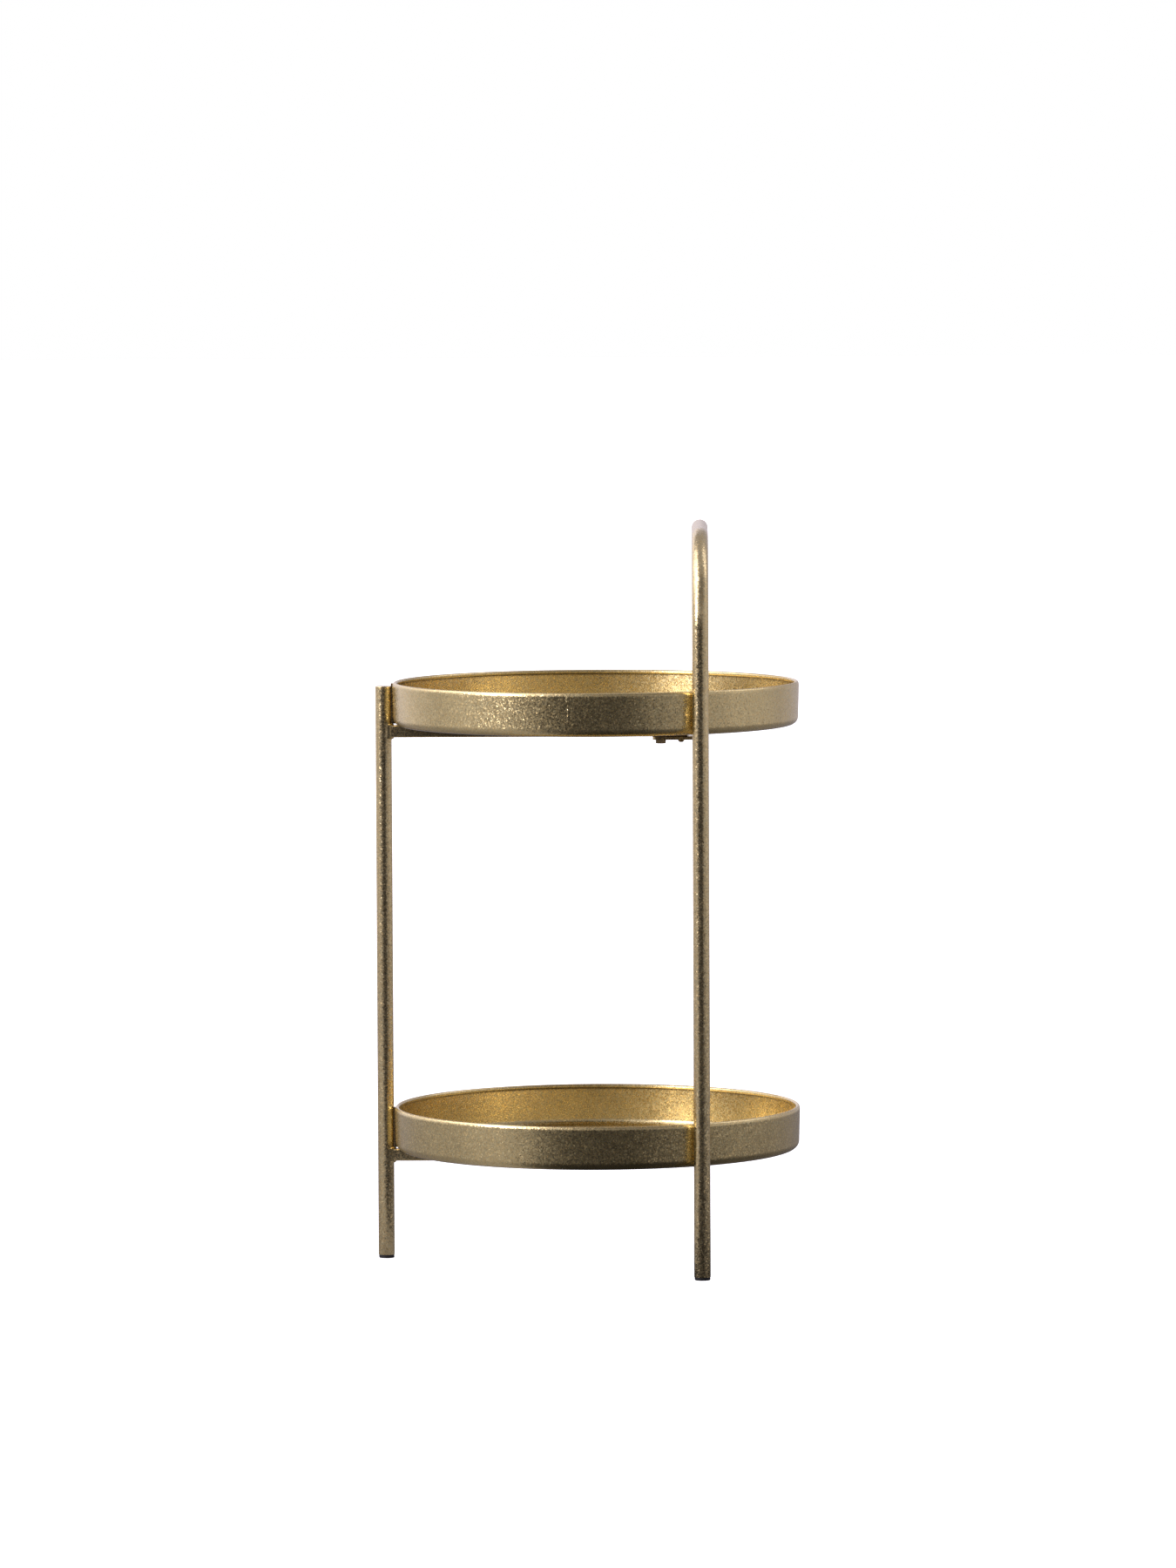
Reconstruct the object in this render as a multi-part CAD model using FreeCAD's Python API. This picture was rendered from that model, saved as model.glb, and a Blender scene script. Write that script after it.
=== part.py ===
import FreeCAD, Part
import math
import os

from FreeCAD import Vector

# Two-tier round tray table with a carrying hoop. Millimetres, +Z up.
#
# The table is two welded units bolted together. The side unit is one upright leg with a
# radial bar under each tray, and the trays are tack-welded to those bars. The hoop unit is
# one tube bent to an inverted U, with a crossbar between its legs at each tray. A tongue
# plate under each crossbar reaches in below the end of the radial bar, where one bolt and
# one locating pin join the units.
#
# The origin is on the floor at the centre of the table's footprint. +X points from the
# side leg towards the hoop, and the table is symmetrical about the plane y = 0.

# ---------------------------------------------------------------- driving dimensions

# Trays: steel dishes with the edge rolled inwards to a round bead, flush with the wall
tray_rim_diameter = 400.0
tray_height = 42.5
tray_sheet = 1.2
tray_lean_degrees = 1.5
tray_corner_radius = 7.5
rim_bead_diameter = 4.4

# The widest turn taken in one straight step where a small round is turned in steps
corner_step_degrees = 45.0
bead_step_degrees = 70.0

# Levels above the floor
lower_tray_level = 108.5
upper_tray_level = 527.5
hoop_top_level = 725.0
side_leg_below_rim = 4.0

# Legs and hoop: round tube
tube_diameter = 16.0
tube_wall = 1.2
leg_to_tray_clearance = 1.0
hoop_leg_degrees = 60.5
hoop_bend_radius = 88.0
leg_cap_thickness = 2.0
leg_cap_chamfer = 0.8

# Bars under the trays: square tube
bar_width = 12.0
bar_wall = 1.0
bar_corner_radius = 1.5
bar_to_crossbar_gap = 6.5

# Tongue plates
tongue_thickness = 3.0
tongue_width = 22.0
tongue_corner_radius = 4.0
tongue_beyond_bolt = 8.0
tongue_setback = 3.0

# Bolts and nuts
bolt_from_bar_end = 26.5
bolt_diameter = 6.0
bolt_length = 10.0
bolt_head_across_flats = 10.0
bolt_head_height = 4.0
bolt_hole_clearance = 0.25
hexagon_chamfer_degrees = 30.0
hexagon_chamfer_inset = 0.55
nut_height = 5.0
nut_side_clearance = 0.05
nut_thread_clearance = 0.05

# Locating pins
pin_from_bar_end = 6.5
pin_diameter = 6.0
pin_projection = 2.8
pin_nose_radius = 2.0
pin_head_diameter = 8.0
pin_head_height = 1.5
pin_seat_clearance = 0.03
pin_hole_clearance = 0.2

# Welds
end_weld_length = 2.5
end_weld_spread = 2.0
tongue_weld_leg = 2.0
tack_weld_leg = 3.0
tack_weld_length = 25.0
tack_weld_from_bar_ends = 70.0
bead_hollow = 0.42

# Feet: plastic plugs pushed into the open ends of the legs
foot_flange_diameter = 15.2
foot_flange_height = 3.2
foot_edge_chamfer = 0.8
foot_plug_length = 18.0
foot_plug_clearance = 0.05

# ---------------------------------------------------------------- derived positions

tube_radius = tube_diameter / 2
tray_rim_radius = tray_rim_diameter / 2
leg_circle_radius = tray_rim_radius + leg_to_tray_clearance + tube_radius

# The footprint runs from the outside of the side leg to the far edge of the tray rims.
tray_axis_x = (leg_circle_radius + tube_radius - tray_rim_radius) / 2
side_leg_x = tray_axis_x - leg_circle_radius
hoop_x = tray_axis_x + leg_circle_radius * math.cos(math.radians(hoop_leg_degrees))
hoop_leg_y = leg_circle_radius * math.sin(math.radians(hoop_leg_degrees))

side_leg_top = upper_tray_level + tray_height - side_leg_below_rim
bar_end_x = hoop_x - bar_width / 2 - bar_to_crossbar_gap
bolt_x = bar_end_x - bolt_from_bar_end
pin_x = bar_end_x - pin_from_bar_end


# ---------------------------------------------------------------- shared shapes

# How far a drill runs past both faces of what it cuts
drill_overrun = 1.0


def upright(x, y, bottom, top, radius):
    """A solid cylinder standing on the level bottom and reaching the level top."""
    return Part.makeCylinder(radius, top - bottom, Vector(x, y, bottom))


def drill(x, bottom, top, radius):
    """A cutter for a vertical hole in the plane of symmetry, through two faces."""
    return upright(x, 0, bottom - drill_overrun, top + drill_overrun, radius)


def turned(profile, x, y, level):
    """A solid of revolution about a vertical axis, from a list of (radius, height) points."""
    corners = [Vector(radius, 0, height) for radius, height in profile]
    face = Part.Face(Part.makePolygon(corners + corners[:1]))
    solid = face.revolve(Vector(0, 0, 0), Vector(0, 0, 1), 360)
    solid.translate(Vector(x, y, level))
    return solid


def round_points(centre, radius, start_degrees, end_degrees, step_degrees):
    """Evenly spaced points of an arc in a profile, both ends included.

    A round of a few millimetres on a turned piece is made in short straight steps in place
    of a true arc, which keeps the piece light.
    """
    steps = math.ceil(abs(end_degrees - start_degrees) / step_degrees)
    points = []
    for index in range(steps + 1):
        turn = math.radians(start_degrees + (end_degrees - start_degrees) * index / steps)
        points.append((centre[0] + radius * math.cos(turn), centre[1] + radius * math.sin(turn)))
    return points


def line(start, end):
    return Part.LineSegment(Vector(*start), Vector(*end)).toShape()


def arc(start, middle, end):
    return Part.Arc(Vector(*start), Vector(*middle), Vector(*end)).toShape()


def bar_outside(start_x, end_x):
    """A solid square bar along the X axis between two stations, with its long edges rounded."""
    half = bar_width / 2 - bar_corner_radius
    core = Part.makePolygon([
        Vector(start_x, -half, -half),
        Vector(start_x, half, -half),
        Vector(start_x, half, half),
        Vector(start_x, -half, half),
        Vector(start_x, -half, -half),
    ])
    section = Part.Face(core.makeOffset2D(bar_corner_radius))
    return section.extrude(Vector(end_x - start_x, 0, 0))


def bar_bore(start_x, end_x):
    """The square bore of such a bar, with sharp corners."""
    width = bar_width - 2 * bar_wall
    return Part.makeBox(end_x - start_x, width, width, Vector(start_x, -width / 2, -width / 2))


def eased_square(x, width, corner):
    """A square outline at a station on the X axis, its corners cut off just outside a radius."""
    half = width / 2
    flat = half - corner * (2 - math.sqrt(2))
    sides = [(flat, -half), (half, -flat), (half, flat), (flat, half)]
    sides += [(-y, -z) for y, z in sides]
    corners = [Vector(x, y, z) for y, z in sides]
    return Part.makePolygon(corners + corners[:1])


def hexagon(across_flats, height):
    """A hexagonal prism on the XY plane, with two corners on the Y axis."""
    corner_radius = across_flats / 2 / math.cos(math.pi / 6)
    corners = []
    for step in range(7):
        turn = math.radians(60 * step + 30)
        corners.append(Vector(corner_radius * math.cos(turn), corner_radius * math.sin(turn), 0))
    return Part.Face(Part.makePolygon(corners)).extrude(Vector(0, 0, height))


def corner_relief(across_flats, height):
    """The upward-widening cone that a bolt's head is cut to, so its lower corners are turned off."""
    face_radius = across_flats / 2 - hexagon_chamfer_inset
    spread = height / math.tan(math.radians(hexagon_chamfer_degrees))
    return Part.makeCone(face_radius, face_radius + spread, height)


def corner_bead(corner, along, first_side, second_side, leg, length):
    """A short straight weld bead in an inside corner, with a slightly hollow face.

    The corner point is at the middle of the bead's length, and the two side vectors lie in
    the two faces that the bead joins, each pointing away from the corner.
    """
    start = corner - along * (length / 2)
    first_toe = start + first_side * leg
    second_toe = start + second_side * leg
    hollow = start + (first_side + second_side) * (leg * bead_hollow)
    section = Part.Wire([
        Part.LineSegment(start, first_toe).toShape(),
        Part.Arc(first_toe, hollow, second_toe).toShape(),
        Part.LineSegment(second_toe, start).toShape(),
    ])
    return Part.Face(section).extrude(along * length)


def end_weld(leg_x, leg_y, level, turn_degrees):
    """The bead round a square bar where it butts against a round leg.

    It is made along +X from the leg's axis and then turned about that axis. It is widest
    where the bar's sides meet the tube and tapers to the bar's own outline.
    """
    corner_depth = math.sqrt(tube_radius**2 - (bar_width / 2) ** 2)
    toe = tube_radius + end_weld_length
    wide = eased_square(
        corner_depth, bar_width + 2 * end_weld_spread, bar_corner_radius + end_weld_spread
    )
    narrow = eased_square(toe, bar_width, bar_corner_radius)
    bead = Part.makeLoft([wide, narrow], True, True)
    bead = bead.cut(bar_outside(0, toe + end_weld_length))
    bead = bead.cut(upright(0, 0, -bar_width, bar_width, tube_radius))
    bead.rotate(Vector(0, 0, 0), Vector(0, 0, 1), turn_degrees)
    bead.translate(Vector(leg_x, leg_y, level - bar_width / 2))
    return bead


# ---------------------------------------------------------------- trays


def tray(level):
    """One dish: flat floor, rounded corner, wall leaning out, and a bead rolled inwards."""
    lean = math.radians(tray_lean_degrees)
    roll = rim_bead_diameter / 2
    bead_level = tray_height - roll
    bead_centre = (tray_rim_radius - roll, bead_level)

    # The wall's outside runs up to the widest point of the bead.
    wall_at_corner = tray_rim_radius - (bead_level - tray_corner_radius) * math.tan(lean)

    # One centre serves both faces of the floor corner, so the sheet keeps its thickness.
    corner_centre = (wall_at_corner - tray_corner_radius / math.cos(lean), tray_corner_radius)

    # The bead is rolled on until its circle meets the wall's inside face.
    short_turn = math.degrees(math.acos(math.cos(lean) - tray_sheet / roll))
    full_turn = 360 - tray_lean_degrees - short_turn

    profile = [(0, 0)]
    profile += round_points(
        corner_centre, tray_corner_radius, -90, -tray_lean_degrees, corner_step_degrees
    )
    profile += round_points(bead_centre, roll, 0, 90, bead_step_degrees)
    profile += round_points(bead_centre, roll, 90, full_turn, bead_step_degrees)[1:]
    profile += round_points(
        corner_centre, tray_corner_radius - tray_sheet, -tray_lean_degrees, -90, corner_step_degrees
    )
    profile += [(0, tray_sheet)]
    return turned(profile, tray_axis_x, 0, level)


# ---------------------------------------------------------------- legs and hoop


def leg_outside(x, y):
    """The outside of a straight leg, as a solid, up to the top of the side leg."""
    return upright(x, y, foot_flange_height, side_leg_top, tube_radius)


def side_leg_tube():
    top = side_leg_top - leg_cap_thickness
    outside = upright(side_leg_x, 0, foot_flange_height, top, tube_radius)
    return outside.cut(upright(side_leg_x, 0, foot_flange_height, top, tube_radius - tube_wall))


def side_leg_cap():
    """A disc welded on the end of the side leg and dressed flush, with its edge eased."""
    profile = [
        (0, 0),
        (tube_radius, 0),
        (tube_radius, leg_cap_thickness - leg_cap_chamfer),
        (tube_radius - leg_cap_chamfer, leg_cap_thickness),
        (0, leg_cap_thickness),
    ]
    return turned(profile, side_leg_x, 0, side_leg_top - leg_cap_thickness)


def hoop_path():
    """The tube's centre line: up one leg, round a bend, across the top and down again."""
    top = hoop_top_level - tube_radius
    shoulder = top - hoop_bend_radius
    straight_y = hoop_leg_y - hoop_bend_radius
    diagonal = hoop_bend_radius * math.cos(math.pi / 4)
    front_foot = (hoop_x, -hoop_leg_y, foot_flange_height)
    front_shoulder = (hoop_x, -hoop_leg_y, shoulder)
    front_middle = (hoop_x, -straight_y - diagonal, shoulder + diagonal)
    front_top = (hoop_x, -straight_y, top)
    rear_top = (hoop_x, straight_y, top)
    rear_middle = (hoop_x, straight_y + diagonal, shoulder + diagonal)
    rear_shoulder = (hoop_x, hoop_leg_y, shoulder)
    rear_foot = (hoop_x, hoop_leg_y, foot_flange_height)
    return Part.Wire([
        line(front_foot, front_shoulder),
        arc(front_shoulder, front_middle, front_top),
        line(front_top, rear_top),
        arc(rear_top, rear_middle, rear_shoulder),
        line(rear_shoulder, rear_foot),
    ])


def swept_hoop(radius):
    """A solid round bar of the given radius along the hoop's centre line."""
    foot_centre = Vector(hoop_x, -hoop_leg_y, foot_flange_height)
    section = Part.Wire(Part.makeCircle(radius, foot_centre, Vector(0, 0, 1)))
    return hoop_path().makePipeShell([section], True, False)


def hoop_tube():
    return swept_hoop(tube_radius).cut(swept_hoop(tube_radius - tube_wall))


def foot(x, y):
    """A plastic plug: a flange under the tube's end and a spigot that fills its bore."""
    flange = foot_flange_diameter / 2
    spigot = tube_radius - tube_wall - foot_plug_clearance
    top = foot_flange_height + foot_plug_length
    profile = [
        (0, 0),
        (flange - foot_edge_chamfer, 0),
        (flange, foot_edge_chamfer),
        (flange, foot_flange_height),
        (spigot, foot_flange_height),
        (spigot, top),
        (0, top),
    ]
    return turned(profile, x, y, 0)


# ---------------------------------------------------------------- bars under a tray


def radial_bar(level):
    """The bar from the side leg to the bolted joint, drilled from below near its free end."""
    bar = bar_outside(side_leg_x, bar_end_x).cut(bar_bore(side_leg_x, bar_end_x))
    bar.translate(Vector(0, 0, level - bar_width / 2))
    bar = bar.cut(leg_outside(side_leg_x, 0))
    underside = level - bar_width
    bolt_hole_radius = bolt_diameter / 2 + bolt_hole_clearance
    pin_hole_radius = pin_diameter / 2 + pin_seat_clearance
    bar = bar.cut(drill(bolt_x, underside, underside + bar_wall, bolt_hole_radius))
    return bar.cut(drill(pin_x, underside, underside + bar_wall, pin_hole_radius))


def crossbar(level):
    """The bar between the hoop's legs, its ends shaped to the tubes."""
    bar = bar_outside(-hoop_leg_y, hoop_leg_y).cut(bar_bore(-hoop_leg_y, hoop_leg_y))
    bar.rotate(Vector(0, 0, 0), Vector(0, 0, 1), 90)
    bar.translate(Vector(hoop_x, 0, level - bar_width / 2))
    for side in (-1, 1):
        bar = bar.cut(leg_outside(hoop_x, side * hoop_leg_y))
    return bar


def tongue(level):
    """The flat plate welded under the crossbar, with its inner corners rounded."""
    inner_end = bolt_x - tongue_beyond_bolt
    outer_end = hoop_x + bar_width / 2 - tongue_setback
    top = level - bar_width
    bottom = top - tongue_thickness
    plate = Part.makeBox(
        outer_end - inner_end,
        tongue_width,
        tongue_thickness,
        Vector(inner_end, -tongue_width / 2, bottom),
    )
    inner_corners = []
    for edge in plate.Edges:
        box = edge.BoundBox
        upright_edge = box.ZLength > tongue_thickness / 2
        if upright_edge and box.XMax < inner_end + tongue_corner_radius:
            inner_corners.append(edge)
    plate = plate.makeFillet(tongue_corner_radius, inner_corners)
    plate = plate.cut(drill(bolt_x, bottom, top, bolt_diameter / 2 + bolt_hole_clearance))
    return plate.cut(drill(pin_x, bottom, top, pin_diameter / 2 + pin_hole_clearance))


# ---------------------------------------------------------------- fasteners of a joint


def joint_bolt(level):
    """Hexagon-head bolt, put in from below through the tongue and the bar's lower wall."""
    head_top = level - bar_width - tongue_thickness
    head = hexagon(bolt_head_across_flats, bolt_head_height)
    head = head.common(corner_relief(bolt_head_across_flats, bolt_head_height))
    head.translate(Vector(bolt_x, 0, head_top - bolt_head_height))
    shank = upright(bolt_x, 0, head_top, head_top + bolt_length, bolt_diameter / 2)
    return head.fuse(shank).removeSplitter()


def captive_nut(level):
    """The nut that the bolt draws up. It sits in the bar, whose walls keep it from turning."""
    across_flats = bar_width - 2 * bar_wall - 2 * nut_side_clearance
    seat = level - bar_width + bar_wall
    nut = hexagon(across_flats, nut_height)
    nut.rotate(Vector(0, 0, 0), Vector(0, 0, 1), 30)
    nut.translate(Vector(bolt_x, 0, seat))
    bore_radius = bolt_diameter / 2 + nut_thread_clearance
    return nut.cut(drill(bolt_x, seat, seat + nut_height, bore_radius))


def locating_pin(level):
    """Headed pin set through the bar's lower wall, its round nose standing below the tongue."""
    shank = pin_diameter / 2
    head = pin_head_diameter / 2
    seat = pin_projection + tongue_thickness + bar_wall
    nose_centre = (shank - pin_nose_radius, pin_nose_radius)
    profile = [(0, 0)]
    profile += round_points(nose_centre, pin_nose_radius, -90, 0, corner_step_degrees)
    profile += [(shank, seat), (head, seat), (head, seat + pin_head_height), (0, seat + pin_head_height)]
    return turned(profile, pin_x, 0, level - bar_width - tongue_thickness - pin_projection)


# ---------------------------------------------------------------- welds


def crossbar_welds(level):
    """One bead round each end of the crossbar."""
    return [end_weld(hoop_x, -hoop_leg_y, level, 90), end_weld(hoop_x, hoop_leg_y, level, -90)]


def tongue_welds(level):
    """Two beads along the crossbar: one on top of the tongue and one behind its end."""
    along = Vector(0, 1, 0)
    up = Vector(0, 0, 1)
    inward = Vector(-1, 0, 0)
    inner = Vector(hoop_x - bar_width / 2, 0, level - bar_width)
    outer = Vector(hoop_x + bar_width / 2 - tongue_setback, 0, level - bar_width)
    return [
        corner_bead(inner, along, inward, up, tongue_weld_leg, tongue_width),
        corner_bead(outer, along, -inward, -up, tongue_weld_leg, tongue_width),
    ]


def tray_tacks(level):
    """Four short beads between the tray's underside and the two sides of the radial bar."""
    near_leg = side_leg_x + tube_radius + tack_weld_from_bar_ends
    near_joint = bar_end_x - tack_weld_from_bar_ends
    beads = []
    for x in (near_leg, near_joint):
        for side in (-1, 1):
            corner = Vector(x, side * bar_width / 2, level)
            outward = Vector(0, side, 0)
            beads.append(
                corner_bead(
                    corner, Vector(1, 0, 0), outward, Vector(0, 0, -1), tack_weld_leg, tack_weld_length
                )
            )
    return beads


# ---------------------------------------------------------------- the whole table

levels = (lower_tray_level, upper_tray_level)

pieces = {
    "side_leg_tube": side_leg_tube(),
    "side_leg_cap": side_leg_cap(),
    "hoop_tube": hoop_tube(),
}
for tier, level in zip(("lower", "upper"), levels):
    pieces[tier + "_tray"] = tray(level)
    pieces[tier + "_radial_bar"] = radial_bar(level)
    pieces[tier + "_crossbar"] = crossbar(level)
    pieces[tier + "_tongue"] = tongue(level)
    pieces[tier + "_crossbar_welds"] = Part.makeCompound(crossbar_welds(level))
    pieces[tier + "_tray_tacks"] = Part.makeCompound(tray_tacks(level))

# Small pieces that repeat are groups of separate solids.
pieces["joint_bolts"] = Part.makeCompound([joint_bolt(level) for level in levels])
pieces["captive_nuts"] = Part.makeCompound([captive_nut(level) for level in levels])
pieces["locating_pins"] = Part.makeCompound([locating_pin(level) for level in levels])
pieces["side_leg_welds"] = Part.makeCompound([end_weld(side_leg_x, 0, level, 0) for level in levels])
pieces["tongue_welds"] = Part.makeCompound(tongue_welds(levels[0]) + tongue_welds(levels[1]))
pieces["leg_feet"] = Part.makeCompound([
    foot(side_leg_x, 0),
    foot(hoop_x, -hoop_leg_y),
    foot(hoop_x, hoop_leg_y),
])

os.makedirs("parts", exist_ok=True)
for piece_name, shape in pieces.items():
    shape.exportStep("parts/" + piece_name + ".step")
    box = shape.BoundBox
    print(
        f"{piece_name:22s} solids {len(shape.Solids)}  valid {shape.isValid()}  "
        f"volume {shape.Volume:9.1f}  x {box.XMin:8.2f} {box.XMax:8.2f}  "
        f"y {box.YMin:8.2f} {box.YMax:8.2f}  z {box.ZMin:7.2f} {box.ZMax:7.2f}"
    )
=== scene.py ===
import bpy
import numpy as np
from mathutils import Matrix


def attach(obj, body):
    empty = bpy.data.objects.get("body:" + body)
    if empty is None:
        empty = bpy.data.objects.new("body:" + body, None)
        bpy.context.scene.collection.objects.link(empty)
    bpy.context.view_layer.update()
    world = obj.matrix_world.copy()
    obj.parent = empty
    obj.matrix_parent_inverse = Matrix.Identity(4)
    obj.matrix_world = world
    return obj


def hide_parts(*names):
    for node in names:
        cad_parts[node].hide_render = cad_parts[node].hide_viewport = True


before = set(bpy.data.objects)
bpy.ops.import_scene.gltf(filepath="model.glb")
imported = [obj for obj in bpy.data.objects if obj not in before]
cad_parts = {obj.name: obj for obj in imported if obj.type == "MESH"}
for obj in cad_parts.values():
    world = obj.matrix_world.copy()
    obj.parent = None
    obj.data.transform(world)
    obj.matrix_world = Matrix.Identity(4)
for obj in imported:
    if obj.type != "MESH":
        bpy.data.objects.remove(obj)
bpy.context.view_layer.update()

# ------------------------------------------------------------------ side leg
# One upright of 16 mm round steel tube, 1.2 mm thick, that carries the outer ends of both
# radial bars. A disc is welded into its top end and dressed flush, and the whole leg is
# covered with champagne gold leaf.

MM = 0.001
TUBE_RADIUS = 8.0
TUBE_WALL = 1.2
TUBE_FOOT_EASING = 0.3
TUBE_TOP_EASING = 0.15
SIDE_LEG_X = -200.5
SIDE_LEG_TOP = 566.0
CAP_THICKNESS = 2.0
CAP_EDGE_RADIUS = 1.0
CAP_MIDDLE_RADIUS = 2.0
CAP_DIP = 0.05
FOOT_FLANGE_HEIGHT = 3.2
ROUND_COLUMNS = 96


def closed_skin(name, rings, hollow=False, crease_degrees=35.0):
    """A closed mesh through a stack of closed rings, given in millimetres as (rings, points, 3).

    Every ring is joined to the next one point for point, and its last point to its first. The
    last ring of a hollow piece is joined back to the first. The end rings of any other piece
    are each filled by a fan of triangles to their mean point. Faces are turned outwards by the
    sign of the volume, which is the sum of the triangles' triple products over six.
    """
    count, around = rings.shape[:2]
    index = np.arange(count * around).reshape(count, around)
    rows = np.vstack([index, index[:1]]) if hollow else index
    low, high = rows[:-1], rows[1:]
    quads = np.stack([low, np.roll(low, -1, 1), np.roll(high, -1, 1), high], -1).reshape(-1, 4)
    points = rings.reshape(-1, 3)
    fans = np.empty((0, 3), int)
    if not hollow:
        points = np.vstack([points, rings[0].mean(0), rings[-1].mean(0)])
        bottom, top = len(points) - 2, len(points) - 1
        first, last = index[0], index[-1]
        fans = np.vstack([
            np.stack([np.roll(first, -1), first, np.full(around, bottom)], -1),
            np.stack([last, np.roll(last, -1), np.full(around, top)], -1),
        ])
    triangles = np.vstack([quads[:, [0, 1, 2]], quads[:, [0, 2, 3]], fans])
    corners = points[triangles]
    volume = np.einsum("ij,ij->", corners[:, 0], np.cross(corners[:, 1], corners[:, 2]))
    if volume < 0:
        quads, fans = quads[:, ::-1], fans[:, ::-1]
    mesh = bpy.data.meshes.new(name)
    mesh.vertices.add(len(points))
    mesh.vertices.foreach_set("co", (points * MM).astype(np.float32).ravel())
    loops = np.concatenate([quads.ravel(), fans.ravel()]).astype(np.int32)
    sizes = np.concatenate([np.full(len(quads), 4), np.full(len(fans), 3)])
    mesh.loops.add(len(loops))
    mesh.loops.foreach_set("vertex_index", loops)
    mesh.polygons.add(len(sizes))
    mesh.polygons.foreach_set("loop_start", (np.cumsum(sizes) - sizes).astype(np.int32))
    mesh.update(calc_edges=True)
    mesh.shade_smooth()
    mesh.set_sharp_from_angle(angle=np.radians(crease_degrees))
    piece = bpy.data.objects.new(name, mesh)
    bpy.context.scene.collection.objects.link(piece)
    return piece


def turned_rings(profile, x, y, base):
    """Rings of a shape turned about an upright axis through (x, y).

    Each point (radius, height) of the profile becomes the ring x + radius cos a,
    y + radius sin a, base + height, for evenly spaced angles a.
    """
    profile = np.asarray(profile, float)
    angle = np.linspace(0, 2 * np.pi, ROUND_COLUMNS, endpoint=False)
    radius, height = profile[:, :1], profile[:, 1:]
    return np.stack([
        x + radius * np.cos(angle),
        y + radius * np.sin(angle),
        base + height + 0 * angle,
    ], -1)


def arc_points(centre, radius, start_degrees, end_degrees, count):
    """Points (radius, height) evenly spaced along an arc, with both its ends."""
    turn = np.radians(np.linspace(start_degrees, end_degrees, count))
    return np.stack([centre[0] + radius * np.cos(turn), centre[1] + radius * np.sin(turn)], -1)


def node(tree, kind, **settings):
    """A new shader node, with its properties and its unlinked inputs set by name."""
    made = tree.nodes.new(kind)
    for key, value in settings.items():
        if key in made.bl_rna.properties:
            setattr(made, key, value)
        else:
            made.inputs[key.replace("_", " ")].default_value = value
    return made


def emptied_tree(holder):
    """The node tree of a new material or world, without the nodes it starts with."""
    holder.use_nodes = True
    holder.node_tree.nodes.clear()
    return holder.node_tree


def blank_material(name, metallic):
    """A new material with one principled shader. Gives it, its tree, its shader and its place."""
    material = bpy.data.materials.new(name)
    tree = emptied_tree(material)
    shader = node(tree, "ShaderNodeBsdfPrincipled", Metallic=metallic)
    out = node(tree, "ShaderNodeOutputMaterial")
    tree.links.new(shader.outputs["BSDF"], out.inputs["Surface"])
    place = node(tree, "ShaderNodeTexCoord").outputs["Object"]
    return material, tree, shader, place


def feed(tree, socket, value):
    """Links an input to another node's output, or sets it to a plain value."""
    if isinstance(value, bpy.types.NodeSocket):
        tree.links.new(value, socket)
    else:
        socket.default_value = value


def spread(tree, value, low, high, start=0.0, end=1.0):
    """A value from start to end carried in a straight line to the range from low to high."""
    made = node(tree, "ShaderNodeMapRange", From_Min=start, From_Max=end, To_Min=low, To_Max=high)
    tree.links.new(value, made.inputs["Value"])
    return made.outputs["Result"]


def combined(tree, operation, first, second, kind="ShaderNodeMath"):
    """The result of a math node on two values, each of them plain or linked."""
    made = node(tree, kind, operation=operation)
    feed(tree, made.inputs[0], first)
    feed(tree, made.inputs[1], second)
    return made.outputs[0]


def scaled(tree, vector, amount):
    """A linked vector or colour times a linked amount."""
    made = node(tree, "ShaderNodeVectorMath", operation="SCALE")
    tree.links.new(vector, made.inputs[0])
    tree.links.new(amount, made.inputs["Scale"])
    return made.outputs[0]


def blended(tree, share, first, second, kind="RGBA"):
    """first where a linked share is 0 and second where it is 1, each of them plain or linked."""
    made = node(tree, "ShaderNodeMix", data_type=kind)
    tree.links.new(share, made.inputs["Factor"])
    feed(tree, made.inputs["A"], first)
    feed(tree, made.inputs["B"], second)
    return made.outputs["Result"]


def noise(tree, place, scale, detail, roughness=0.5):
    """The value of a noise at a place, with scale as its features to the metre."""
    made = node(tree, "ShaderNodeTexNoise", Scale=scale, Detail=detail, Roughness=roughness)
    tree.links.new(place, made.inputs["Vector"])
    return made.outputs["Fac"]


LEAF_WARMTH = (1.05, 0.985, 0.90)
LEAF_COOLNESS = (0.95, 1.01, 1.10)
LEAF_SHADES = (0.87, 1.11)
LEAF_TONES = (0.94, 1.05)
TONE_NOISE_RANGE = (0.3, 0.7)
SMOOTHER_BY = 0.08
ROUGHER_BY = 0.09
BURNISHED_LEAN = 0.5
LACQUER_WEIGHT = 0.3
LACQUER_ROUGHNESS = 0.25
SPECK_EDGE = 0.03
BARE_GROUND_AND_SHADE = (0.10, 0.065, 0.035, 1.0)


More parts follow.
